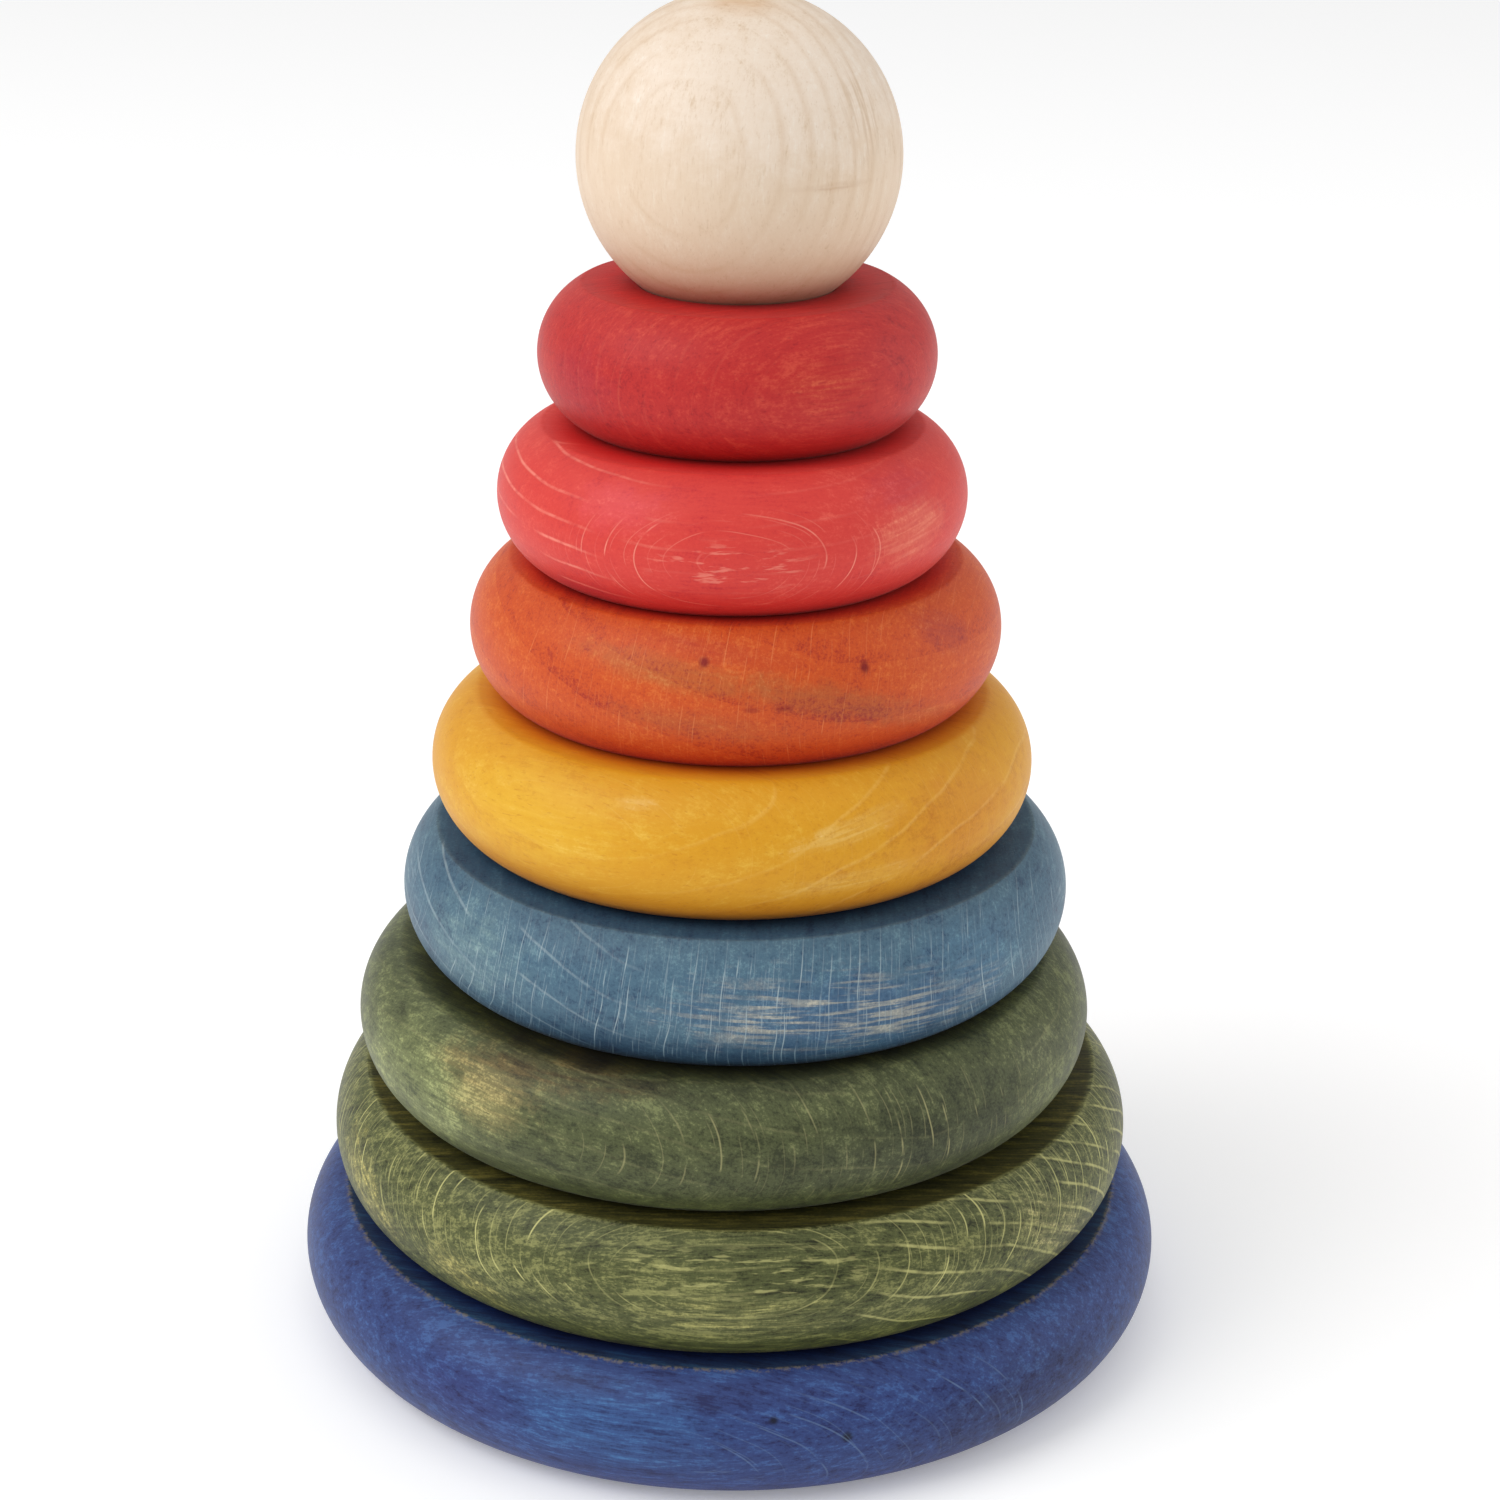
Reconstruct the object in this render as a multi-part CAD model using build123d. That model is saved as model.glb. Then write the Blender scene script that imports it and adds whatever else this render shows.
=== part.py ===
from build123d import *

import os
from math import sqrt
from typing import NamedTuple

# A wooden stacking tower: a base disc with a glued peg, seven loose rings of falling
# diameter threaded on the peg, and a loose ball that caps it.
# Millimetres. +Z points up along the peg. The origin is the centre of the underside.


class Disc(NamedTuple):
    """One turned disc of the tower, with a flat top and bottom and a bulging side."""

    name: str
    radius: float  # at the widest point of the side, halfway up
    thickness: float
    bulge: float  # how far the side stands out past the flat faces
    ease: float  # radius that softens the edge between a flat face and the side
    rest: tuple  # where the disc's axis rests beside the tower's axis, in x and y


# The base, and the loose rings from the lowest to the highest. Each ring is about 5 mm
# smaller in radius than the one below, and rests a little off centre on the peg.
BASE = Disc("base_disc", 60.0, 17.7, 6.0, 0.3, (0.0, 0.0))
RINGS = [
    Disc("olive_ring", 55.2, 17.6, 4.6, 0.3, (-0.1, 0.5)),
    Disc("green_ring", 50.1, 18.0, 6.0, 1.2, (-1.1, -0.8)),
    Disc("light_blue_ring", 45.1, 17.3, 4.6, 0.4, (0.3, 0.4)),
    Disc("yellow_ring", 40.2, 18.8, 6.2, 2.0, (-0.3, 0.1)),
    Disc("orange_ring", 35.1, 18.5, 5.4, 1.0, (0.0, 0.5)),
    Disc("coral_ring", 30.5, 18.1, 5.8, 1.2, (-0.6, -0.9)),
    Disc("red_ring", 25.6, 18.0, 5.6, 0.8, (-0.1, 0.0)),
]

BORE_RADIUS = 12.5  # through every ring, loose on the peg
BORE_EASE = 0.6  # radius that softens the rims of a ring's bore

PEG_RADIUS = 10.0
PEG_SOCKET_DEPTH = 14.0  # glued into a blind hole in the base's top
PEG_ABOVE_RINGS = 5.0  # how far the peg stands above the stack of rings
PEG_ROUNDING = 3.0  # radius that rounds the peg's upper end

BALL_RADIUS = 20.45
BALL_REST = (-0.1, 0.0)  # the ball centres itself on the bore of the highest ring
BALL_GAP = 0.05  # between the ball and the rim that it sits on
BALL_HOLE_RADIUS = 11.0  # blind hole that drops over the peg's end
BALL_HOLE_ROOF = 3.0  # between the peg's end and the bottom of the hole
BALL_HOLE_EASE = 0.8  # radius that softens the hole's mouth


def disc_section(disc, inner_radius):
    """Half of a disc's section: x is the radius and y the height above its underside."""
    flat_radius = disc.radius - disc.bulge
    flats = Polyline(
        (flat_radius, disc.thickness),
        (inner_radius, disc.thickness),
        (inner_radius, 0),
        (flat_radius, 0),
    )
    side = ThreePointArc(
        (flat_radius, 0),
        (disc.radius, disc.thickness / 2),
        (flat_radius, disc.thickness),
    )
    section = make_face(flats + side)
    return fillet(section.vertices().group_by(Axis.X)[-1], disc.ease)


def turned(section, rest=(0, 0), height=0.0):
    """Turn a half section about the Z axis, and stand the solid at its place of rest."""
    solid = revolve(Plane.XZ * section, Axis.Z)
    return Pos(rest[0], rest[1], height) * solid


def base_disc():
    """The lowest disc: a flat underside, and a blind socket for the peg in its top."""
    socket_floor = BASE.thickness - PEG_SOCKET_DEPTH
    socket = Pos(0, 0, socket_floor) * extrude(Circle(PEG_RADIUS), PEG_SOCKET_DEPTH)
    return turned(disc_section(BASE, 0.0)) - socket


def loose_ring(disc, height):
    """One ring, its underside at the given height, with eased rims on its bore."""
    section = disc_section(disc, BORE_RADIUS)
    section = fillet(section.vertices().group_by(Axis.X)[0], BORE_EASE)
    return turned(section, disc.rest, height)


def peg(top):
    """The dowel that guides the rings, from the floor of its socket up to top."""
    floor = BASE.thickness - PEG_SOCKET_DEPTH
    dowel = Pos(0, 0, floor) * extrude(Circle(PEG_RADIUS), top - floor)
    return fillet(dowel.edges().group_by(Axis.Z)[-1], PEG_ROUNDING)


def ball(stack_top, peg_top):
    """The ball, resting on the bore rim of the highest ring, with its blind hole."""
    rim_radius = BORE_RADIUS + BORE_EASE
    reach = BALL_RADIUS + BALL_GAP + BORE_EASE
    centre = stack_top - BORE_EASE + sqrt(reach**2 - rim_radius**2)
    roof = peg_top + BALL_HOLE_ROOF
    ball_solid = Pos(*BALL_REST, centre) * Sphere(BALL_RADIUS)
    drill = extrude(Circle(BALL_HOLE_RADIUS), BALL_RADIUS)
    drilled = ball_solid - Pos(*BALL_REST, roof - BALL_RADIUS) * drill
    return fillet(drilled.edges().group_by(Axis.Z)[0], BALL_HOLE_EASE)


def tower():
    """Every piece of the tower by name, at its place of rest."""
    pieces = {BASE.name: base_disc()}
    height = BASE.thickness
    for disc in RINGS:
        pieces[disc.name] = loose_ring(disc, height)
        height += disc.thickness
    peg_top = height + PEG_ABOVE_RINGS
    pieces["peg"] = peg(peg_top)
    pieces["ball"] = ball(height, peg_top)
    return pieces


os.makedirs("parts", exist_ok=True)
for name, solid in tower().items():
    export_step(solid, f"parts/{name}.step")
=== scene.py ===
from math import asin, cos, degrees, pi, radians, sin, sqrt
from typing import NamedTuple

import bmesh
import bpy
from mathutils import Matrix, Vector, noise


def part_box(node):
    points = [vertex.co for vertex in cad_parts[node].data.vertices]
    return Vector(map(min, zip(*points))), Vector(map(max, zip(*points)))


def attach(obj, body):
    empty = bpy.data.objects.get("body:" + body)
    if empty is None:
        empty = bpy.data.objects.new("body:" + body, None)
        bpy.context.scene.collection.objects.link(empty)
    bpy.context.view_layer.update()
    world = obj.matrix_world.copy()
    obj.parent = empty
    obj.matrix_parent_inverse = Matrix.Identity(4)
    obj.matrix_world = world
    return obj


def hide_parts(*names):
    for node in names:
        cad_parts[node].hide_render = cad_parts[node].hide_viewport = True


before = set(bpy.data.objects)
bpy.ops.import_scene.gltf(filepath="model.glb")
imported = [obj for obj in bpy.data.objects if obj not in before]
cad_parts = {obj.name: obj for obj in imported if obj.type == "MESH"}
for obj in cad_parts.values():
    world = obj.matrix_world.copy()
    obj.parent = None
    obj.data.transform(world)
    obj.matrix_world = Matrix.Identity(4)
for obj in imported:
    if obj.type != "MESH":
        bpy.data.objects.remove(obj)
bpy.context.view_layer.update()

# A wooden stacking tower. Each CAD node is replaced by a finely turned mesh of the same
# size, in solid wood: the growth rings, the rays and the fibres run right through a piece,
# and its surface cuts them, so every face shows the figure that its place in the log gives.

MM = 0.001


# ---------------------------------------------------------------- colours

def display(red, green, blue):
    """A display colour, 0 to 255, as the linear values that shaders use."""
    def linear(value):
        value /= 255
        return value / 12.92 if value <= 0.04045 else ((value + 0.055) / 1.055) ** 2.4
    return (linear(red), linear(green), linear(blue), 1.0)


def against(colour, usual):
    """What the usual colour has to be multiplied by to give another one."""
    return tuple(level / base for level, base in zip(colour, usual))


# ---------------------------------------------------------------- node graphs

class Signal:
    """A socket in a material's node tree that can be added, scaled and so on."""

    def __init__(self, graph, socket):
        self.graph = graph
        self.socket = socket

    def __add__(self, other):
        return self.graph.math("ADD", self, other)

    def __sub__(self, other):
        return self.graph.math("SUBTRACT", self, other)

    def __mul__(self, other):
        return self.graph.math("MULTIPLY", self, other)

    def __truediv__(self, other):
        return self.graph.math("DIVIDE", self, other)


class Graph:
    """Builds the node tree of one material."""

    def __init__(self, name):
        self.material = bpy.data.materials.new(name)
        self.material.use_nodes = True
        self.nodes = self.material.node_tree.nodes
        self.links = self.material.node_tree.links
        self.nodes.clear()

    def node(self, kind, inputs=(), **settings):
        """A node, with its settings, and its inputs by name or number."""
        made = self.nodes.new(kind)
        for key, value in settings.items():
            setattr(made, key, value)
        for key, value in dict(inputs).items():
            self.feed(made.inputs[key], value)
        return made

    def feed(self, socket, value):
        """Links a signal to an input, or sets it to a fixed value."""
        if isinstance(value, Signal):
            self.links.new(value.socket, socket)
        else:
            socket.default_value = value

    def math(self, operation, *values, clamp=False):
        made = self.node("ShaderNodeMath", enumerate(values), operation=operation, use_clamp=clamp)
        return Signal(self, made.outputs[0])

    def inverse(self, value):
        return self.math("SUBTRACT", 1.0, value)

    def vector(self, operation, *values, output="Vector"):
        made = self.node("ShaderNodeVectorMath", enumerate(values), operation=operation)
        return Signal(self, made.outputs[output])

    def dot(self, point, axis):
        return self.vector("DOT_PRODUCT", point, tuple(axis), output="Value")

    def combine(self, x, y, z):
        made = self.node("ShaderNodeCombineXYZ", {"X": x, "Y": y, "Z": z})
        return Signal(self, made.outputs[0])

    def noise(self, point, scale=1.0, detail=2.0, roughness=0.5, output="Fac"):
        inputs = {"Vector": point, "Scale": scale, "Detail": detail, "Roughness": roughness}
        made = self.node("ShaderNodeTexNoise", inputs)
        return Signal(self, made.outputs[output])

    def white(self, value, offset):
        """A fixed random number from 0 to 1 for each whole number."""
        made = self.node("ShaderNodeTexWhiteNoise", {"W": value + offset}, noise_dimensions="1D")
        return Signal(self, made.outputs["Value"])

    def ramp(self, value, low, high, out_low=0.0, out_high=1.0):
        """Goes smoothly from out_low to out_high as value goes from low to high."""
        inputs = {"Value": value, "From Min": low, "From Max": high}
        inputs.update({"To Min": out_low, "To Max": out_high})
        made = self.node("ShaderNodeMapRange", inputs, interpolation_type="SMOOTHSTEP")
        return Signal(self, made.outputs["Result"])

    def blend(self, factor, first, second, mode="MIX"):
        """Mixes two colours. Their sockets go by number, because the node repeats the names."""
        inputs = {"Factor": factor, 6: first, 7: second}
        settings = {"data_type": "RGBA", "blend_type": mode, "clamp_factor": True}
        made = self.node("ShaderNodeMix", inputs, **settings)
        return Signal(self, made.outputs[2])

    def tint(self, colour, by):
        """A colour multiplied by another."""
        return self.blend(1.0, colour, by, "MULTIPLY")

    def attribute(self, name):
        made = self.node("ShaderNodeAttribute", attribute_name=name)
        return Signal(self, made.outputs["Fac"])

    def finish(self, shader):
        """Links a shader to the material's output."""
        output = self.node("ShaderNodeOutputMaterial")
        self.links.new(shader.outputs["BSDF"], output.inputs["Surface"])
        return self.material


# ---------------------------------------------------------------- solid wood

class Wood(NamedTuple):
    """How one piece was cut from its log, how it took its stain, and its painted shade. Sizes in
    millimetres.
    """

    stain: tuple  # the usual colour
    dark: tuple  # where the stain soaked in
    light: tuple  # where it took less
    pale: tuple  # rays and worn places, nearly bare
    flat: tuple  # the flat faces, darker and deeper in colour: painted shade, as they lie under other pieces
    turn: float = 0.0  # azimuth in degrees, from the front, of the side that shows long grain
    pith: tuple = (0.0, -120.0)  # of the log, towards that side and up from the piece's centre
    ray_root: tuple = (0.0, -300.0)  # the line that the rays spread from, given the same way
    growth: float = 3.0  # from one growth ring to the next
    growth_line: float = 0.3  # how strongly the lines between growth rings show
    line: tuple = ()  # colour of the growth lines, or the pale colour
    line_width: float = 0.28
    line_sides: tuple = ()  # azimuths round which they show, or everywhere
    band: float = 0.2  # how much darker the late wood is
    waver: float = 0.9  # how far the growth rings wander, in rings
    ray_gap: float = 2.2  # from one ray to the next
    ray_width: float = 0.16
    ray: float = 0.5  # how strongly the rays show
    ray_length: float = 5.0
    ray_place: tuple = ()  # azimuth, height, half extents round and up, or everywhere
    fibre: float = 0.5  # how strongly the fibres show
    mottle: float = 0.5  # how blotchy the stain is
    felt: float = 0.4  # fine even speckle
    dash: float = 0.2  # short dark ends of rays on the long grain
    wear: float = 0.3  # how far the edges are rubbed bare
    rub: tuple = ()  # colour of the rubbed edges, or the pale colour
    upright: bool = False  # fibres run up, not level
    tilt: float = 0.0  # degrees that the long-grain side looks up
    patches: tuple = ()


class Patch(NamedTuple):
    """A place on a piece where the colour differs: worn, soaked or spotted; two are painted shade
    and one painted light, each marked where it is listed.
    """

    azimuth: float  # degrees from the front, towards +X
    height: float  # from the piece's middle
    size: tuple  # half extents, round and up
    colour: tuple
    strength: float = 0.6
    streak: float = 0.5  # how far streaks along it break it up
    lean: float = 0.0  # degrees that it climbs towards +X
    reach: float = 0.0  # from the piece's axis, or 0 for the piece's radius


class Cut(NamedTuple):
    """A point of a piece, in millimetres, and the log that the piece was cut from."""

    wood: Wood
    axes: tuple  # along the fibres, towards the long-grain side, and square to both
    normal: Signal
    point: Signal  # from the piece's centre
    shifted: Signal  # the same, moved so that each piece has its own noise
    moved: Signal  # the same as point, bent a little as the log was
    radius: float
    seed: float


class Polar(NamedTuple):
    """Where a point lies round a line along the fibres, and which way its surface faces."""

    depth: Signal  # how far from the line
    arc: Signal  # how far round it
    offset: tuple  # from the line, outwards through the piece's centre and sideways
    normal: tuple  # given the same way


class Grain(NamedTuple):
    """What the surface shows where it cuts the log, each from 0 to 1."""

    fine: Signal  # fibres
    coarse: Signal
    late: Signal  # the darker late wood of a growth ring
    line: Signal  # the edge of a growth ring
    rays: Signal
    dash: Signal  # short dark ends of rays on the long grain
    blotch: Signal


def log_axes(wood):
    """Unit vectors along the fibres, towards the long-grain side, and square to both."""
    turn, tilt = radians(wood.turn), radians(wood.tilt)
    level = Vector((sin(turn), -cos(turn), 0))
    fibres = Vector((cos(turn), sin(turn), 0))
    facing = level * cos(tilt) + Vector((0, 0, sin(tilt)))
    up = Vector((0, 0, cos(tilt))) - level * sin(tilt)
    return (up, facing, fibres) if wood.upright else (fibres, facing, up)


BEND = 1.2  # how far the lines of a log wander, in millimetres
APART = (37.0, 11.0, 23.0)  # how far apart two pieces' noise lies for one step of seed


def cut_from_log(g, wood, centre, radius, seed):
    """The coordinates that all the figure of a piece is drawn in."""
    coordinates = g.node("ShaderNodeTexCoord")
    surface = Signal(g, coordinates.outputs["Object"])
    normal = Signal(g, coordinates.outputs["Normal"])
    point = g.vector("MULTIPLY", g.vector("SUBTRACT", surface, tuple(centre)), (1 / MM,) * 3)
    shifted = g.vector("ADD", point, tuple(seed * step for step in APART))
    drift = g.vector("SUBTRACT", g.noise(shifted, 0.05, output="Color"), (0.5,) * 3)
    moved = g.vector("ADD", point, g.vector("MULTIPLY", drift, (BEND,) * 3))
    return Cut(wood, log_axes(wood), normal, point, shifted, moved, radius, seed)


def around(g, cut, root):
    """Where each point lies round the line along the fibres through root."""
    fibres, facing, up = cut.axes
    start = facing * root[0] + up * root[1]
    outward = -start.normalized()
    sideways = fibres.cross(outward)
    offset = g.vector("SUBTRACT", cut.moved, tuple(start))
    out, side = g.dot(offset, outward), g.dot(offset, sideways)
    depth = g.math("SQRT", out * out + side * side)
    arc = g.math("ARCTAN2", side, out) * start.length
    normal = (g.dot(cut.normal, outward), g.dot(cut.normal, sideways))
    return Polar(depth, arc, (out, side), normal)


LEAST_SQUARE = 0.12  # what a surface that lies along the sheets still counts as


def squareness(g, facing):
    """How squarely a surface cuts sheets that it faces by this much, up to 1."""
    return g.math("MAXIMUM", g.math("SQRT", g.inverse(facing * facing)), LEAST_SQUARE)


def square_to_shells(g, polar):
    """How squarely the surface cuts the shells round the line, such as growth rings."""
    (out, side), (normal_out, normal_side) = polar.offset, polar.normal
    return squareness(g, (normal_out * out + normal_side * side) / polar.depth)


def square_to_sheets(g, polar):
    """How squarely the surface cuts the sheets that spread from the line, such as rays."""
    (out, side), (normal_out, normal_side) = polar.offset, polar.normal
    return squareness(g, (normal_side * out - normal_out * side) / polar.depth)


def ray_lines(g, along, depth, arc, square, gap, width, length, offset):
    """Thin sheets that run from the pith outwards, each with its own place and strength."""
    wander = g.noise(g.combine(along * 0.04, depth * 0.08, offset), detail=1.0)
    count = (arc + wander * 2.0) / gap
    number = g.math("FLOOR", count)
    centre = g.white(number, offset) * 0.6 + 0.2
    away = g.math("ABSOLUTE", count - number - centre) * gap / square
    line = g.ramp(away, width * 0.35, width, 1.0, 0.0)
    reach = g.combine(along * (0.8 / length), depth * (1.1 / length), number * 7.31 + offset)
    present = g.ramp(g.noise(reach), 0.44, 0.60)
    strong = g.white(number, offset + 0.5)
    return line * present * (strong * 0.7 + 0.3)


SMALLEST_REACH = 5.0  # how deep into a piece a small patch goes, in millimetres


def place_on(g, point, radius, azimuth, height, size, lean=0.0):
    """Offsets round and up from a place on a piece, and the distance from it in extents."""
    azimuth, lean = radians(azimuth), radians(lean)
    out = Vector((sin(azimuth), -cos(azimuth), 0))
    side = Vector((cos(azimuth) * cos(lean), sin(azimuth) * cos(lean), sin(lean)))
    rise = side.cross(out)
    offset = g.vector("SUBTRACT", point, tuple(out * radius + Vector((0, 0, height))))
    round_it, up_it = g.dot(offset, side), g.dot(offset, rise)
    outward = g.dot(offset, out) / max(*size, SMALLEST_REACH)
    reach = g.combine(round_it / size[0], up_it / size[1], outward)
    return round_it, up_it, g.vector("LENGTH", reach, output="Value")


RAGGED = 1.5  # how far a patch's edge wanders, in its extents
RAGGED_SIZE = 4  # a patch smaller than this many millimetres wanders less


def patch_mask(g, patch, cut):
    """Up to its strength inside a patch, broken up into streaks, and 0 outside it."""
    reach = patch.reach or cut.radius
    where = (patch.azimuth, patch.height, patch.size, patch.lean)
    round_it, up_it, distance = place_on(g, cut.point, reach, *where)
    ragged = g.noise(cut.point, scale=0.35, detail=6.0, roughness=0.75) - 0.5
    raggedness = RAGGED * min(1.0, max(patch.size) / RAGGED_SIZE)
    inside = g.ramp(distance + ragged * raggedness, 0.25, 1.05, 1.0, 0.0)
    streaks = g.noise(g.combine(round_it * 0.1, up_it * 1.4, patch.azimuth), detail=4.0)
    broken = g.ramp(streaks, 0.46, 0.60, 1.0 - patch.streak, 1.0)
    return g.math("MULTIPLY", inside * broken, patch.strength, clamp=True)


def growth_rings(g, cut, polar, coarse):
    """The late wood of the growth rings, and the lines between one ring and the next."""
    wood, shifted = cut.wood, cut.shifted
    square = square_to_shells(g, polar)
    year = polar.depth / wood.growth + (g.noise(shifted, 0.05) - 0.5) * wood.waver
    season = year - g.math("FLOOR", year)
    late = g.ramp(season, 0.35, 1.0)
    from_edge = g.math("MINIMUM", season, g.inverse(season)) * wood.growth / square
    shown = g.ramp(g.noise(shifted, 0.08, 3.0), 0.38, 0.56)
    if wood.line_sides:
        sides = 0.0
        for azimuth in wood.line_sides:
            out = (sin(radians(azimuth)) / cut.radius, -cos(radians(azimuth)) / cut.radius, 0)
            near = g.ramp(g.dot(cut.point, out), 0.35, 0.85, 0.12, 1.0)
            sides = g.math("MAXIMUM", near, sides)
        shown = shown * sides
    broken = g.ramp(coarse, 0.38, 0.52, 0.5, 1.0)
    return late, g.ramp(from_edge, 0.05, wood.line_width, 1.0, 0.0) * shown * broken


DENSE_GAP = 0.37  # of the fine rays, compared with the large ones
DENSE_WIDTH = 0.7
DENSE_STRENGTH = 0.45


def wood_rays(g, cut, along, depth):
    """The rays: lines where the surface cuts them, and torn flakes where it lies along them."""
    wood, seed = cut.wood, cut.seed
    polar = around(g, cut, wood.ray_root)
    square = square_to_sheets(g, polar)
    log = (g, along, polar.depth, polar.arc, square)
    gap, width, length = wood.ray_gap, wood.ray_width, wood.ray_length
    sparse = ray_lines(*log, gap, width, length, seed)
    dense = ray_lines(*log, gap * DENSE_GAP, width * DENSE_WIDTH, length, seed + 9)
    lines = g.math("MAXIMUM", sparse, dense * DENSE_STRENGTH)
    flake = g.ramp(square, 0.16, 0.42, 1.0, 0.0)
    torn = g.noise(g.combine(along * 0.22, depth * 1.3, seed), 1.0, 3.0, 0.6)
    rays = lines * g.inverse(flake * 0.8) + flake * g.ramp(torn, 0.54, 0.64) * 0.5
    if wood.ray_place:
        azimuth, height, *size = wood.ray_place
        _, _, distance = place_on(g, cut.point, cut.radius, azimuth, height, size)
        rays = rays * g.ramp(distance, 0.7, 1.25, 1.0, 0.0)
    return rays


def wood_grain(g, cut):
    """Fibres, growth rings and rays, from where each point lay in the log."""
    seed = cut.seed
    along = g.dot(cut.moved, cut.axes[0])
    polar = around(g, cut, cut.wood.pith)
    depth, arc = polar.depth, polar.arc
    fine = g.noise(g.combine(along * 0.32, depth * 3.6 + seed, arc * 3.6), 1.0, 4.0, 0.7)
    coarse = g.noise(g.combine(along * 0.09, depth * 1.1, arc * 1.1 + seed), 1.0, 4.0, 0.65)
    late, line = growth_rings(g, cut, polar, coarse)
    rays = wood_rays(g, cut, along, depth)
    dash = g.noise(g.combine(along * 0.6, depth * 2.8, arc * 4.2 + seed), detail=1.0)
    blotch = g.combine(along * 0.22, depth * 0.4, arc * 0.4 + seed)
    blotch = g.noise(blotch, 1.0, 6.0, 0.72)
    return Grain(fine, coarse, late, line, rays, g.ramp(dash, 0.655, 0.73), blotch)


def stain_tone(g, cut, grain):
    """How much the stain took, from dark below 0 to light above 0."""
    wood = cut.wood
    broad = g.noise(cut.shifted, 0.05, 3.0, 0.55)
    felt = g.noise(cut.shifted, 2.4, 3.0, 0.75)
    tone = (grain.fine - 0.5) * wood.fibre + (grain.coarse - 0.5) * (wood.fibre * 1.2)
    tone = tone + (broad - 0.5) * wood.mottle + (grain.blotch - 0.5) * (wood.mottle * 1.3)
    tone = tone + (felt - 0.5) * wood.felt - (grain.late - 0.5) * wood.band
    end_grain = g.math("ABSOLUTE", g.dot(cut.normal, cut.axes[0]))
    return tone - g.ramp(end_grain, 0.55, 1.0) * 0.06


def stained_side(g, cut, grain, flat):
    """The colour of the wood with its patches, its blotches and the figure of the grain."""
    wood = cut.wood
    colour = wood.stain
    for patch in wood.patches:
        colour = g.blend(patch_mask(g, patch, cut), colour, patch.colour)
    tone = stain_tone(g, cut, grain)
    shade = g.blend(g.ramp(tone, -0.45, 0.0), against(wood.dark, wood.stain), (1,) * 4)
    shade = g.blend(g.ramp(tone, 0.0, 0.42), shade, against(wood.light, wood.stain))
    colour = g.tint(colour, shade)
    colour = g.blend(grain.dash * wood.dash, colour, wood.dark)
    bare = g.inverse(flat * 0.85)
    colour = g.blend(grain.line * bare * wood.growth_line, colour, wood.line or wood.pale)
    return g.blend(grain.rays * bare * wood.ray, colour, wood.pale)


SHADE_BRIGHTNESS = 0.72  # the brightness of the painted shade under another piece


def painted_face_shade(g, wood, colour, flat):
    """Darkens the flat faces with painted shade, most of all where another piece covers them."""
    # The flat faces take the darker flat colour: painted shade.
    face_shade = g.tint(colour, against(wood.flat, wood.stain))
    colour = g.blend(flat, colour, face_shade)
    # Painted shade where another piece covers, meets or fills this one.
    strongest = max(wood.stain[:3])
    deep = tuple(SHADE_BRIGHTNESS * level / strongest for level in wood.stain[:3]) + (1.0,)
    return g.blend(g.attribute("painted_shade"), colour, g.tint(colour, deep))


BUMP = 0.12 * MM  # the depth of the relief
ROUGHNESS = 0.50  # of the smooth side, before its pores and blotches


def stained_wood(name, wood, centre, radius, seed):
    """Solid wood cut as the log lay, stained, sanded and a little worn, with painted shade on its
    flat faces and where other pieces meet it.
    """
    g = Graph(name)
    cut = cut_from_log(g, wood, centre, radius, seed)
    grain = wood_grain(g, cut)
    flat = g.attribute("flat")
    colour = painted_face_shade(g, wood, stained_side(g, cut, grain, flat), flat)
    rubbed = g.attribute("edge") * g.ramp(g.noise(cut.shifted, 1.3, 3.0, 0.7), 0.42, 0.62)
    colour = g.blend(rubbed * wood.wear, colour, wood.rub or wood.pale)

    relief = grain.fine * 0.6 + grain.coarse * 0.4 - grain.dash * 0.5
    relief = relief + grain.rays * (0.25 * wood.ray)
    bump = g.node("ShaderNodeBump", {"Strength": 0.35, "Distance": BUMP, "Height": relief})
    pores = g.noise(cut.shifted, 6.0, 2.0, 0.6)
    rough = (pores - 0.5) * 0.16 + (grain.blotch - 0.5) * 0.12 + rubbed * 0.08
    rough = rough + flat * 0.12 + ROUGHNESS

    inputs = {"Base Color": colour, "Roughness": rough, "Normal": Signal(g, bump.outputs["Normal"])}
    inputs.update({"Specular IOR Level": 0.24, "Sheen Weight": 0.07, "Sheen Roughness": 0.35})
    return g.finish(g.node("ShaderNodeBsdfPrincipled", inputs))


# ---------------------------------------------------------------- turned meshes

AROUND = 288  # corners round every turned piece
EASE_STEPS = 8  # edges along an eased edge of the section
BOW_STEPS = 44  # along a disc's bulging side
BALL_STEPS = 120  # from the top of the ball to its hole


class Section(NamedTuple):
    """One point of a half section, and which part of the piece it belongs to, from 0 to 1."""

    radius: float
    height: float
    flat: float = 0.0  # on a flat face
    edge: float = 0.0  # at the edge of a flat face
    painted_shade: float = 0.0  # painted shade: under, against or round another piece


def arc_points(centre, radius, start, end, steps):
    """Points on an arc in the section, from start to end in degrees, both included."""
    for step in range(steps + 1):
        angle = radians(start + (end - start) * step / steps)
        yield centre[0] + radius * cos(angle), centre[1] + radius * sin(angle)


def line_points(start, end, steps):
    """Points on a straight run, without its two ends."""
    for step in range(1, steps):
        share = step / steps
        yield start[0] + (end[0] - start[0]) * share, start[1] + (end[1] - start[1]) * share


WANDER_ROUND = 1.3  # how fast the side wanders round a piece
WANDER_UP = 60  # and up it, in each metre
CHIP_SCALE = 900  # how close the chips lie, in each metre


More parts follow.
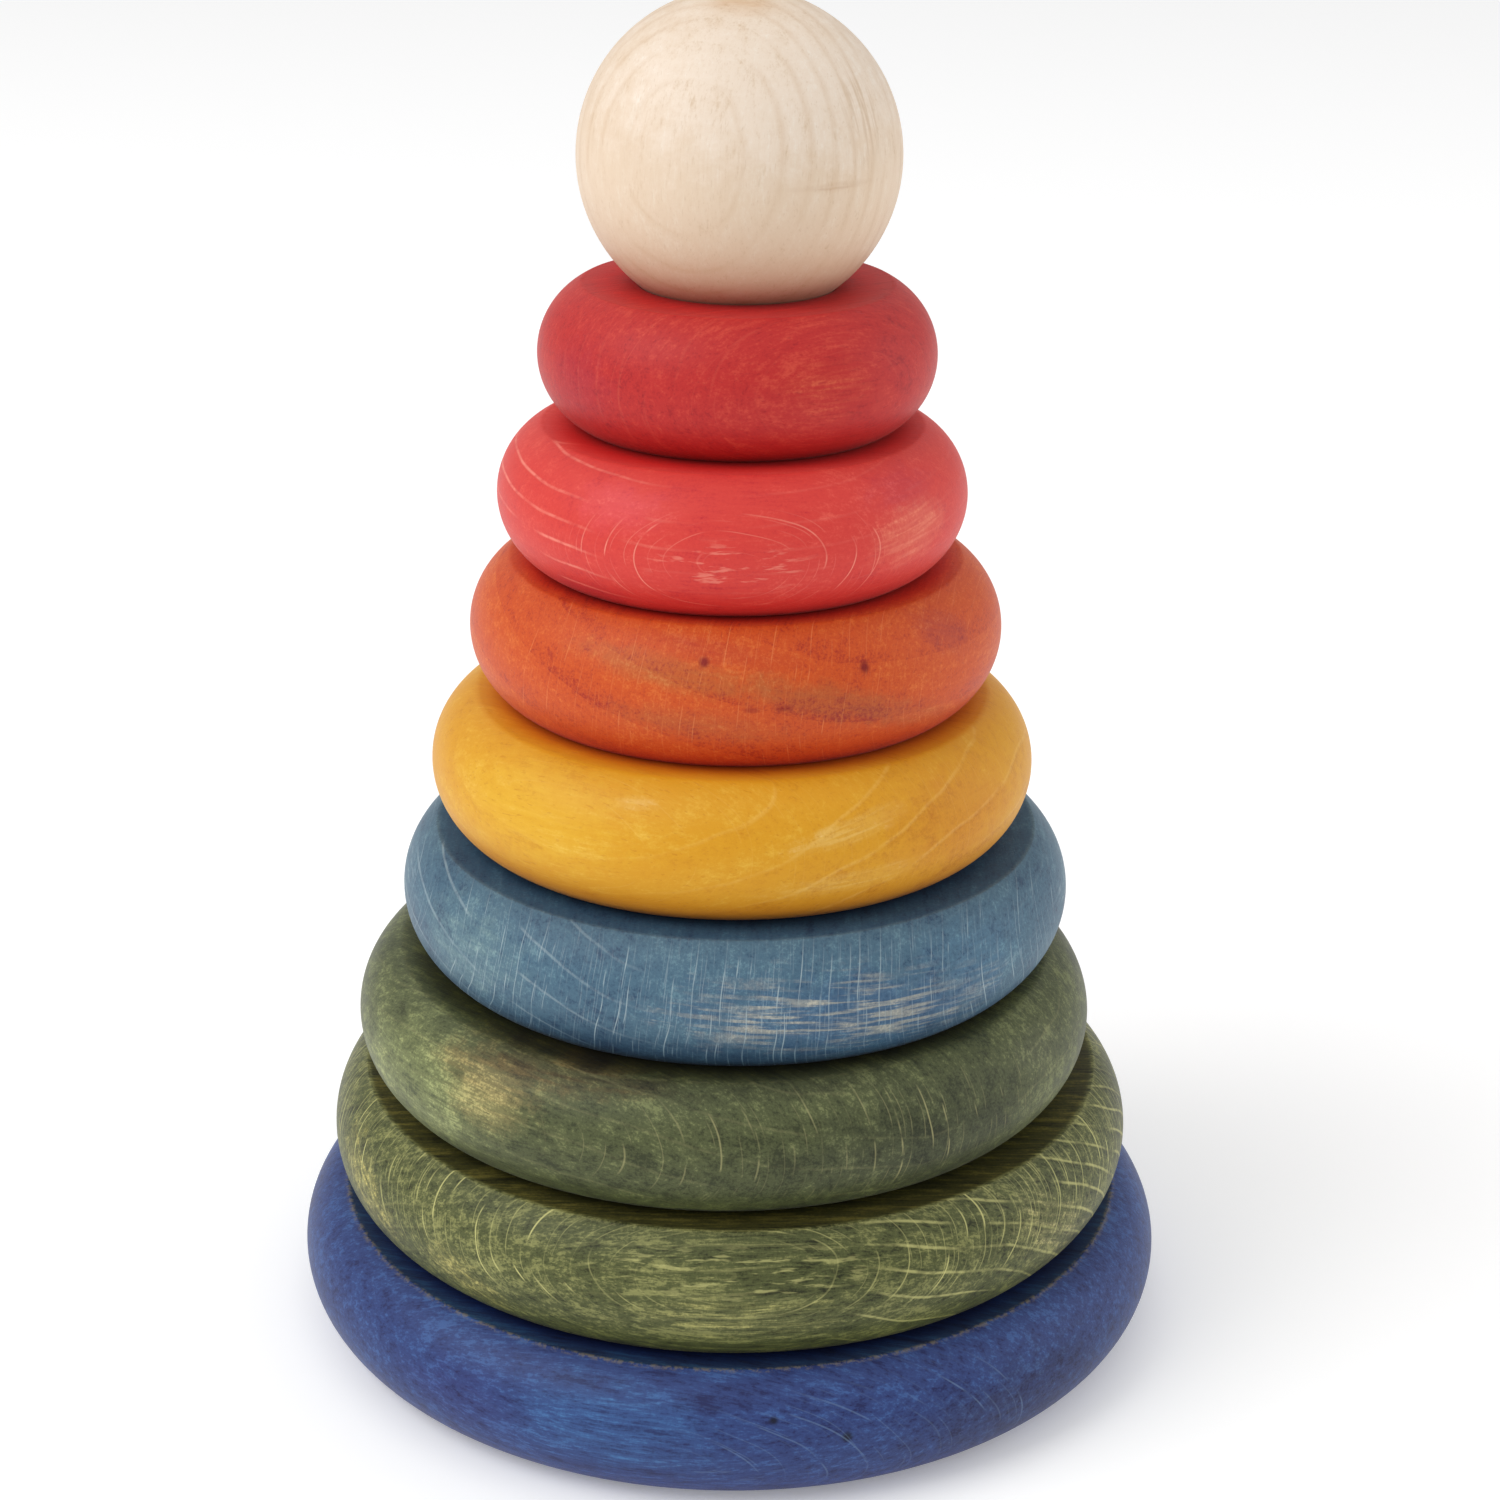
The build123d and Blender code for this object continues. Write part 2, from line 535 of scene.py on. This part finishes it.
def unevenness(point, angle, wobble, chips, seed):
    """How far out a point moves: the side wanders slowly, and the edges lose small chips."""
    place = Vector((point.radius * cos(angle), point.radius * sin(angle), point.height))
    x, y = cos(angle) * WANDER_ROUND, sin(angle) * WANDER_ROUND
    slow = noise.noise(Vector((x, y, point.height * WANDER_UP + seed)))
    quick = noise.noise(place * CHIP_SCALE + Vector((seed, 0, 0)))
    return (slow * wobble) * (1 - point.flat) + min(quick, 0) * chips * point.edge


def revolve(name, section, centre, wobble, chips, seed):
    """Turns a section about an upright axis, with the small unevenness of hand work."""
    mesh = bmesh.new()
    layers = {part: mesh.verts.layers.float.new(part) for part in ("flat", "edge", "painted_shade")}

    def vertex(point, angle):
        place = Vector((point.radius * cos(angle), point.radius * sin(angle), point.height))
        if point.radius > 0:
            cut = unevenness(point, angle, wobble, chips, seed)
            place.x += cos(angle) * cut
            place.y += sin(angle) * cut
        made = mesh.verts.new(place + centre)
        for part, layer in layers.items():
            made[layer] = getattr(point, part)
        return made

    rows = []
    for point in section:
        if point.radius == 0:
            rows.append([vertex(point, 0.0)])
        else:
            rows.append([vertex(point, 2 * pi * turn / AROUND) for turn in range(AROUND)])
    # A section that starts on the axis ends there too, and any other closes on itself.
    closed = len(rows[0]) > 1
    following = rows[1:] + rows[:1] if closed else rows[1:]
    for lower, upper in zip(rows, following):
        for turn in range(AROUND):
            after = (turn + 1) % AROUND
            corners = [lower[turn % len(lower)], lower[after % len(lower)]]
            corners += [upper[after % len(upper)], upper[turn % len(upper)]]
            mesh.faces.new(list(dict.fromkeys(corners)))
    bmesh.ops.recalc_face_normals(mesh, faces=mesh.faces)
    data = bpy.data.meshes.new(name)
    mesh.to_mesh(data)
    mesh.free()
    data.shade_smooth()
    piece = bpy.data.objects.new(name, data)
    bpy.context.scene.collection.objects.link(piece)
    return piece


def eased_side(radius, thickness, bulge, ease):
    """The bulging side from the lower flat face to the upper, its two edges eased."""
    half = thickness / 2
    bow = (half**2 + bulge**2) / (2 * bulge)
    bow_centre = radius - bow
    # The easing arc touches the flat face and the bow from inside.
    reach = bow - ease
    rise = half - ease
    face = bow_centre + sqrt(reach**2 - rise**2)
    meet = degrees(asin(rise / reach))
    lower = arc_points((face, ease), ease, -90, -meet, EASE_STEPS)
    side = arc_points((bow_centre, half), bow, -meet, meet, BOW_STEPS)
    upper = arc_points((face, thickness - ease), ease, meet, 90, EASE_STEPS)
    return list(lower), list(side)[1:-1], list(upper), face


def smooth(value, low, high):
    """0 up to low, 1 from high, and smooth between."""
    share = min(1.0, max(0.0, (value - low) / (high - low)))
    return share * share * (3 - 2 * share)


FACE_STEPS = (0.12, 0.25, 0.4, 0.6, 0.9, 1.3, 1.8, 2.4, 3.1, 4, 5, 6.2, 7.6, 9.5, 12, 16, 22, 30)
INNERMOST = 0.5 * MM  # the least room left at the inner edge of a face


def face_radii(outer, inner):
    """Radii across a flat face from its outer edge inwards, closest near that edge."""
    return [outer - step * MM for step in FACE_STEPS if outer - step * MM > inner + INNERMOST]


UNDERSIDE = 0.7  # how much painted shade an underside gets
LOWER_SIDE = 7.0 * MM  # up to here the side gets a little painted shade too
SHADE = 4.5 * MM  # how far the painted shade reaches out from under the piece above
CHIPPED = 0.5 * MM  # each way from the edge of a face


def disc_section(disc, radius, thickness, inner, touch):
    """Half section of a disc, from the inner edge of its underside round to the top's.

    The piece above reaches out to the radius touch on the top face.
    """
    bulge, ease, fade = disc.bulge * MM, disc.ease * MM, disc.fade * MM
    lower, side, upper, face = eased_side(radius, thickness, bulge, ease)

    def top(r, z):
        # The top face fades to the flat colour, a painted shade, and gets more painted shade out to
        # SHADE beyond where the piece above touches it.
        flat = smooth(r, face + 0.3 * fade, face - 0.7 * fade)
        edge = smooth(abs(r - face), CHIPPED, 0.2 * CHIPPED)
        return Section(r, z, flat, edge, smooth(r, touch + SHADE, touch - 0.5 * MM))

    def under(r, z):
        # The underside gets the flat colour and painted shade all over.
        return Section(r, z, smooth(r, face, face - fade), 0, UNDERSIDE)

    radii = face_radii(face, inner)
    section = [under(r, 0) for r in reversed(radii)] + [under(r, z) for r, z in lower]
    # The side gets painted shade near its lower edge.
    section += [Section(r, z, 0, 0, UNDERSIDE * smooth(z, LOWER_SIDE, 0)) for r, z in side]
    return section + [top(r, z) for r, z in upper] + [top(r, thickness) for r in radii]


def ring_section(disc, radius, thickness, touch):
    """A ring's closed section: the disc's, and the bore's wall with its eased rims."""
    rim = BORE + BORE_EASE
    section = disc_section(disc, radius, thickness, rim, touch)
    top = arc_points((rim, thickness - BORE_EASE), BORE_EASE, 90, 180, 6)
    wall = line_points((BORE, thickness - BORE_EASE), (BORE, BORE_EASE), 8)
    bottom = arc_points((rim, BORE_EASE), BORE_EASE, 180, 270, 6)
    # The bore's wall gets part of the flat colour and some painted shade.
    return section + [Section(r, z, 0.6, 0, 0.4) for r, z in [*top, *wall, *bottom]]


def base_section(disc, radius, thickness, touch, socket, depth):
    """The base's section, from the middle of its underside to the floor of its socket."""
    section = disc_section(disc, radius, thickness, socket, touch)
    under = [(0.0, 0.0)] + list(line_points((0, 0), (socket, 0), 6)) + [(socket, 0.0)]
    # The underside gets the flat colour and painted shade, and the socket, below, gets both in
    # full.
    section = [Section(r, z, 1, 0, 0.6) for r, z in under] + section
    floor = thickness - depth
    inside = [(socket, thickness)] + list(line_points((socket, thickness), (socket, floor), 6))
    inside += [(socket, floor)] + list(line_points((socket, floor), (0, floor), 4)) + [(0.0, floor)]
    return section + [Section(r, z, 1, 0, 1) for r, z in inside]


def ball_section(radius, hole, roof, hole_ease):
    """The ball's section about its centre: over the top, down to the hole, and up inside."""
    reach = radius - hole_ease
    ease_radius = hole + hole_ease
    meet = degrees(asin(ease_radius / reach)) - 90
    ease_height = -sqrt(reach**2 - ease_radius**2)
    outside = list(arc_points((0, 0), radius, 90, meet, BALL_STEPS))
    outside[0] = (0.0, radius)
    mouth = arc_points((ease_radius, ease_height), hole_ease, meet, -180, EASE_STEPS)
    wall = list(line_points((hole, ease_height), (hole, roof), 8)) + [(hole, roof)]
    ceiling = list(line_points((hole, roof), (0, roof), 4)) + [(0.0, roof)]
    # The lower half gets painted shade, darkest at the bottom, and the hole gets it in full.
    section = [Section(r, z, 0, 0, UNDERSIDE * smooth(z, 0, -0.9 * radius)) for r, z in outside]
    inside = list(mouth)[1:] + wall + ceiling
    return section + [Section(r, z, 0, 0, 1) for r, z in inside]


def dowel_section(radius, length, rounding):
    """The peg's section, from the middle of its lower end to the middle of its upper."""
    lower = [(0.0, 0.0)] + list(line_points((0, 0), (radius, 0), 4)) + [(radius, 0.0)]
    wall = list(line_points((radius, 0), (radius, length - rounding), 40))
    shoulder = list(arc_points((radius - rounding, length - rounding), rounding, 0, 90, 10))
    top = list(line_points((radius - rounding, length), (0, length), 4)) + [(0.0, length)]
    return [Section(r, z) for r, z in lower + wall + shoulder + top]


# ---------------------------------------------------------------- the pieces

BORE = 12.5 * MM
BORE_EASE = 0.6 * MM
PEG_ROUNDING = 3.0 * MM
HOLE = 11.0 * MM
HOLE_EASE = 0.8 * MM
HOLE_ROOF = 3.0 * MM  # from the peg's end up to the end of the ball's hole
BALL_SEAT = 12.6 * MM  # radius of the circle where the ball touches the red ring
DISC_WOBBLE = 0.06 * MM
BALL_WOBBLE = 0.02 * MM


class Disc(NamedTuple):
    """A disc's look: how its side bulges, how its edges are eased, and its wood."""

    node: str
    body: str
    slot: str
    bulge: float  # this and the rest in millimetres
    ease: float
    fade: float  # how far in from the edge a flat face fades to its painted shade
    chips: float
    wood: Wood


BLUE = Wood(
    stain=display(49, 66, 119), dark=display(35, 42, 87), light=display(63, 93, 149),
    pale=display(112, 138, 170), flat=display(35, 56, 86), rub=display(134, 124, 100),
    turn=-13, tilt=-8, pith=(0, -110), growth=3.4, growth_line=0.03, band=0.04,
    ray_gap=2.4, ray_width=0.15, ray=0.5, ray_length=7, ray_place=(18, -1, 26, 9), fibre=1.3,
    mottle=0.75, felt=0.55, dash=0.15, wear=0.6,
    patches=(
        Patch(-14, 2.5, (18, 7), display(63, 101, 155), 0.6, 0.3),
        Patch(5.9, 4.5, (0.8, 0.6), display(20, 22, 37), 0.9, 0.0, 0, 58.4),
        Patch(14.8, 1.8, (1.0, 0.9), display(20, 22, 37), 0.9, 0.0),
        Patch(-35, 1, (14, 6), display(50, 54, 109), 0.5, 0.3),
        Patch(42, -1, (24, 9), display(44, 50, 84), 0.7, 0.3),
        Patch(35, 1.5, (1.5, 1.2), display(44, 46, 79), 0.5, 0.3),
    ),
)
OLIVE = Wood(
    stain=display(83, 88, 51), dark=display(43, 46, 23), light=display(136, 137, 84),
    pale=display(204, 200, 130), flat=display(64, 62, 24),
    turn=1, tilt=32, pith=(40, -250), ray_root=(20, -300), growth=2.9, growth_line=0.6, band=0.12,
    waver=0.9, line_sides=(60,), ray_gap=1.5, ray_width=0.15, ray=0.9, ray_length=6,
    ray_place=(2, 5.5, 200, 6.5), fibre=1.2, mottle=0.7, felt=0.75, dash=0.5, wear=0.25,
    patches=(
        Patch(-62, 1, (12, 5), display(159, 152, 86), 0.7, 0.7, -20),
        Patch(-38, -3, (9, 4), display(146, 141, 80), 0.6, 0.7, -20),
        Patch(4, -1, (16, 4), display(146, 146, 86), 0.5, 0.9),
        Patch(52, 0, (14, 6), display(159, 154, 104), 0.4, 0.8, -25),
        Patch(56, -6, (14, 4), display(62, 64, 46), 0.7, 0.2),
        Patch(20, 3, (16, 4), display(67, 73, 39), 0.5, 0.4),
    ),
)
GREEN = Wood(
    stain=display(83, 89, 57), dark=display(56, 61, 38), light=display(121, 127, 83),
    pale=display(176, 170, 120), flat=display(54, 52, 31),
    turn=-43, pith=(0, 110), ray_root=(0, 300), growth=4.2, growth_line=0.1, band=0.06,
    ray_gap=3.4, ray_width=0.15, ray=0.6, ray_place=(14, 1.6, 34, 6.5), fibre=0.85, mottle=1.1,
    felt=1.15, dash=0.3, wear=0.1,
    patches=(
        Patch(-56, 1, (22, 10), display(136, 144, 96), 0.6, 0.2),
        Patch(-38, 6.4, (13, 3), display(134, 113, 68), 0.5, 0.5, 0, 47),
        Patch(-37, 3.6, (8.5, 4.5), display(162, 148, 96), 0.6, 0.4, 0, 49),
        Patch(-28, 8.4, (18, 2.4), display(107, 85, 48), 0.6, 0.6, 0, 46),
        Patch(-26, 9.0, (22, 2.2), display(33, 27, 14), 0.75, 0.6, 0, 44),
        # Dark along the top in the middle, next to the light blue ring: painted shade of that ring.
        Patch(12, 9.0, (24, 1.8), display(50, 52, 34), 0.6, 0.2, 0, 44),
        Patch(-64, 7, (5, 3), display(64, 68, 46), 0.5, 0.2),
        Patch(32, 0, (24, 10), display(62, 67, 46), 0.8, 0.2),
        Patch(40, -6, (26, 4), display(52, 56, 38), 0.6, 0.2),
        Patch(58, 5, (8, 4), display(89, 93, 68), 0.5, 0.2),
    ),
)
LIGHT_BLUE = Wood(
    stain=display(75, 106, 126), dark=display(48, 73, 99), light=display(102, 135, 149),
    pale=display(178, 194, 198), flat=display(51, 85, 112),
    turn=90, pith=(12, 80), ray_root=(12, 200), growth=4.6, growth_line=0.34, band=0.06,
    waver=0.4, line_sides=(-75,), ray_gap=1.3, ray_width=0.10, ray=0.7, ray_length=6,
    ray_place=(0, -1.8, 200, 9.5), fibre=0.45, mottle=0.9, felt=1.1, dash=0.1, wear=0.05,
    patches=(
        # A darker band low on the front: painted shade of the underside.
        Patch(-14, -6, (30, 3.5), display(48, 70, 94), 0.6, 0.2),
        Patch(20, -0.6, (27, 7), display(48, 81, 126), 0.55, 0.2, -4),
        Patch(20, -0.6, (27, 7), display(163, 163, 151), 0.75, 1.0, -4),
        Patch(-50, 2, (14, 7), display(120, 147, 149), 0.5, 0.4),
        Patch(44, 3, (12, 6), display(81, 120, 147), 0.5, 0.3),
    ),
)
YELLOW = Wood(
    stain=display(218, 155, 31), dark=display(192, 119, 15), light=display(232, 184, 67),
    pale=display(248, 216, 130), flat=display(234, 151, 8),
    turn=-33, pith=(-20, -80), ray_root=(0, 300), growth=5.0, growth_line=0.16, band=0.1,
    line_width=0.4, line_sides=(50,), ray_gap=1.5, ray_width=0.10, ray=0.08, fibre=0.4,
    mottle=0.45, felt=0.3, dash=0.3, wear=0.0,
    patches=(
        Patch(-40, 3, (20, 8), display(232, 184, 54), 0.6, 0.2),
        Patch(22, 3.9, (9.5, 1.9), display(236, 201, 116), 0.5, 0.6, 11, 39),
        Patch(48, 2, (16, 9), display(206, 129, 28), 0.6, 0.2),
        Patch(22, -2.6, (13, 1.8), display(232, 192, 101), 0.4, 0.6, 4),
        Patch(-17.8, 6.9, (3.6, 0.9), display(238, 201, 118), 0.35, 0.5, 3, 36.8),
    ),
)
ORANGE = Wood(
    stain=display(203, 81, 30), dark=display(166, 46, 28), light=display(219, 112, 50),
    pale=display(238, 152, 92), flat=display(205, 40, 9),
    turn=80, pith=(44, 143), ray_root=(30, 300), growth=7.0, growth_line=0.0, band=0.16,
    waver=0.3, ray_gap=2.0, ray_width=0.09, ray=0.35, fibre=0.5, mottle=0.5, felt=0.95,
    dash=0.35, wear=0.0,
    patches=(
        Patch(-12, 4.2, (17, 2.4), display(182, 100, 50), 0.65, 0.2, -7, 34),
        Patch(20, 0.4, (15, 3.2), display(176, 92, 48), 0.7, 0.2, -15),
        Patch(-8, -2.0, (15, 2.6), display(178, 88, 44), 0.55, 0.3, -5),
        Patch(40, -3, (12, 3), display(182, 87, 45), 0.5, 0.3, -16),
        Patch(52, 6, (8, 3.5), display(160, 54, 50), 0.5, 0.3, -20),
        Patch(-3, 6.8, (12, 1.6), display(172, 44, 31), 0.5, 0.4, -8, 32),
        Patch(-6.2, 5.8, (0.9, 0.8), display(127, 23, 24), 0.9, 0.0, 0, 33),
        Patch(28, 4.3, (0.9, 1.0), display(127, 23, 24), 0.9, 0.0, 0, 33.9),
        Patch(3.8, 0.3, (1.5, 0.5), display(150, 35, 24), 0.7, 0.2),
        Patch(9.9, 0.4, (1.4, 0.5), display(150, 35, 24), 0.7, 0.2),
    ),
)
CORAL = Wood(
    stain=display(215, 64, 57), dark=display(192, 40, 49), light=display(231, 95, 80),
    pale=display(250, 164, 142), flat=display(225, 33, 29),
    turn=0, pith=(0, -150), ray_root=(0, -300), growth=2.8, growth_line=0.5, band=0.04,
    waver=0.3, line_sides=(-78,), ray_gap=1.9, ray_width=0.13, ray=0.8,
    ray_place=(2, -0.8, 23, 6), fibre=0.45, mottle=0.5, felt=0.6, dash=0.1, wear=0.0,
    patches=(
        Patch(48, 0.8, (9, 4.5), display(235, 133, 107), 0.6, 0.5, 8),
        Patch(48, 6.2, (8, 3), display(186, 46, 63), 0.5, 0.3, 0, 27.7),
        Patch(-40, -7, (10, 2.5), display(180, 42, 63), 0.5, 0.3),
        Patch(-28, 5, (8, 3.5), display(225, 81, 87), 0.5, 0.2, 0, 28.6),
    ),
)
RED = Wood(
    stain=display(188, 44, 42), dark=display(157, 27, 34), light=display(206, 70, 56),
    pale=display(226, 108, 84), flat=display(196, 22, 20),
    turn=31, pith=(-50, 0), ray_root=(0, -300), growth=3.2, growth_line=0.1, band=0.04,
    ray_gap=1.6, ray_width=0.10, ray=0.12, fibre=0.75, mottle=0.5, felt=0.7, dash=0.3, wear=0.0,
    patches=(
        Patch(27, 1, (8.5, 5), display(208, 82, 59), 0.3, 0.8),
        Patch(-50, 0, (8, 7), display(166, 39, 56), 0.5, 0.2),
    ),
)
MAPLE = Wood(
    stain=display(227, 204, 179), dark=display(205, 174, 139), light=display(234, 218, 198),
    pale=display(240, 229, 214), flat=display(207, 181, 151), line=display(201, 164, 122),
    turn=-20, pith=(66.4, 0), ray_root=(-60, 1), growth=3.0, growth_line=0.22, band=0.08,
    line_width=0.8, waver=0.4, ray_gap=1.4, ray_width=0.10, ray=0.06, fibre=0.5, mottle=0.4,
    felt=0.35, dash=0.25, wear=0.0, upright=True, tilt=8,
    patches=(
        # The ball's upper half paler: painted light from above.
        Patch(20, 12, (38, 14), display(240, 224, 207), 0.8, 0.1),
        Patch(34, -0.5, (8.5, 0.7), display(194, 153, 114), 0.4, 0.5),
        Patch(5, 19.2, (6, 1.2), display(207, 162, 112), 0.6, 0.5, 0.0, 7.0),
        Patch(52, 7, (9, 5), display(201, 170, 135), 0.5, 0.9, 90, 17.6),
    ),
)

BASE = Disc("base_disc", "stand", "blue_stain", 6.0, 0.3, 0.3, 0.16, BLUE)
RINGS = [
    Disc("olive_ring", "olive_ring", "olive_stain", 4.6, 0.3, 1.2, 0.12, OLIVE),
    Disc("green_ring", "green_ring", "green_stain", 6.0, 1.2, 5.0, 0.06, GREEN),
    Disc("light_blue_ring", "light_blue_ring", "light_blue_stain", 4.6, 0.4, 0.9, 0.06, LIGHT_BLUE),
    Disc("yellow_ring", "yellow_ring", "yellow_stain", 6.2, 2.0, 5.0, 0.03, YELLOW),
    Disc("orange_ring", "orange_ring", "orange_stain", 5.4, 1.0, 4.0, 0.04, ORANGE),
    Disc("coral_ring", "coral_ring", "coral_stain", 5.8, 1.2, 5.0, 0.03, CORAL),
    Disc("red_ring", "red_ring", "red_stain", 5.6, 0.8, 6.0, 0.03, RED),
]


def place(node):
    """The middle of a node's underside, its radius and its height."""
    low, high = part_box(node)
    foot = Vector(((low[0] + high[0]) / 2, (low[1] + high[1]) / 2, low[2]))
    return foot, (high[0] - low[0]) / 2, high[2] - low[2]


def finish_piece(piece, node, body, wood, middle, radius, seed):
    """Gives a turned piece its wood and its body, in place of its CAD node."""
    material = stained_wood(f"{node}_wood", wood, middle, radius / MM, seed)
    piece.data.materials.append(material)
    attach(piece, body)
    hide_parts(node)


def touch_radius(above):
    """How far out the underside of the disc above reaches, or where the ball sits."""
    if above is None:
        return BALL_SEAT
    _, radius, thickness = place(above.node)
    return eased_side(radius, thickness, above.bulge * MM, above.ease * MM)[3]


def make_disc(disc, above, seed):
    """The base or a ring, under the disc above, or under the ball where that is None."""
    foot, radius, thickness = place(disc.node)
    touch = touch_radius(above)
    if disc is BASE:
        peg_foot, socket, _ = place("peg")
        depth = thickness - peg_foot.z
        section = base_section(disc, radius, thickness, touch, socket, depth)
    else:
        section = ring_section(disc, radius, thickness, touch)
    piece = revolve(f"{disc.node}_turned", section, foot, DISC_WOBBLE, disc.chips * MM, seed)
    middle = foot + Vector((0, 0, thickness / 2))
    finish_piece(piece, disc.node, disc.body, disc.wood, middle, radius, seed)


def make_peg(seed):
    foot, radius, length = place("peg")
    piece = revolve("peg_turned", dowel_section(radius, length, PEG_ROUNDING), foot, 0, 0, seed)
    middle = foot + Vector((0, 0, length / 2))
    finish_piece(piece, "peg", "stand", MAPLE, middle, radius, seed)


def make_ball(seed):
    foot, radius, height = place("ball")
    centre = foot + Vector((0, 0, height - radius))
    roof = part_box("peg")[1][2] + HOLE_ROOF - centre.z
    section = ball_section(radius, HOLE, roof, HOLE_EASE)
    piece = revolve("ball_turned", section, centre, BALL_WOBBLE, 0, seed)
    finish_piece(piece, "ball", "ball", MAPLE, centre, radius, seed)


# ---------------------------------------------------------------- studio

def make_camera():
    """The camera looks down at the tower from the front, a touch off level."""
    aim = Vector((0.0021, 0, 0.0801))
    distance = 0.4050
    elevation = radians(21.64)
    roll = radians(0.68)
    data = bpy.data.cameras.new("camera")
    data.lens = 72.2
    data.sensor_width = 36.0
    data.clip_start = 0.01
    data.clip_end = 50.0
    camera = bpy.data.objects.new("camera", data)
    bpy.context.scene.collection.objects.link(camera)
    forward = Vector((0, cos(elevation), -sin(elevation)))
    level = Vector((1, 0, 0))
    above = level.cross(forward)
    right = level * cos(roll) + above * sin(roll)
    up = above * cos(roll) - level * sin(roll)
    matrix = Matrix((right, up, -forward)).transposed().to_4x4()
    matrix.translation = aim - forward * distance
    camera.matrix_world = matrix
    bpy.context.scene.camera = camera


def floor_paper():
    """White paper, lit a little from behind."""
    g = Graph("floor_paper")
    inputs = {"Base Color": (0.93, 0.93, 0.93, 1), "Roughness": 0.9}
    inputs.update({"Emission Color": (1, 1, 1, 1), "Emission Strength": 0.2})
    return g.finish(g.node("ShaderNodeBsdfPrincipled", inputs))


FLOOR_RADIUS = 6.0
FLOOR_GAP = 0.2 * MM  # between the base and the floor, so that they don't flicker


def make_floor():
    """A wide pale round floor under the tower."""
    mesh = bmesh.new()
    bmesh.ops.create_circle(mesh, cap_ends=True, radius=FLOOR_RADIUS, segments=96)
    data = bpy.data.meshes.new("floor")
    mesh.to_mesh(data)
    mesh.free()
    floor = bpy.data.objects.new("floor", data)
    floor.location.z = -FLOOR_GAP
    data.materials.append(floor_paper())
    bpy.context.scene.collection.objects.link(floor)


LAMPS_AIM = Vector((0, 0, 0.09))  # about the middle of the tower


def soft_box(name, place_at, size, power):
    """A large square lamp that points at the middle of the tower."""
    data = bpy.data.lights.new(name, "AREA")
    data.shape = "SQUARE"
    data.size = size
    data.energy = power
    lamp = bpy.data.objects.new(name, data)
    lamp.location = place_at
    forward = LAMPS_AIM - Vector(place_at)
    lamp.rotation_mode = "QUATERNION"
    lamp.rotation_quaternion = forward.to_track_quat("-Z", "Y")
    bpy.context.scene.collection.objects.link(lamp)


def make_light():
    """A white tent all round, a large soft box high on the left and a weak one on the right."""
    world = bpy.data.worlds.new("tent")
    world.use_nodes = True
    nodes, links = world.node_tree.nodes, world.node_tree.links
    nodes["Background"].inputs["Color"].default_value = (1, 1, 1, 1)
    direction = nodes.new("ShaderNodeTexCoord")
    height = nodes.new("ShaderNodeSeparateXYZ")
    brightness = nodes.new("ShaderNodeMapRange")
    links.new(direction.outputs["Generated"], height.inputs["Vector"])
    links.new(height.outputs["Z"], brightness.inputs["Value"])
    brightness.inputs["To Min"].default_value = 0.34  # level with the floor
    brightness.inputs["To Max"].default_value = 0.86  # straight up
    links.new(brightness.outputs["Result"], nodes["Background"].inputs["Strength"])
    bpy.context.scene.world = world
    soft_box("key", (-1.0, -0.45, 1.1), size=1.0, power=11.0)
    soft_box("fill", (1.2, 0.15, 0.45), size=0.8, power=3.0)


bpy.context.scene.view_settings.view_transform = "Standard"
make_camera()
make_disc(BASE, RINGS[0], seed=1.0)
make_peg(seed=2.0)
for number, (ring, above) in enumerate(zip(RINGS, RINGS[1:] + [None])):
    make_disc(ring, above, seed=3.0 + number)
make_ball(seed=12.0)
make_floor()
make_light()
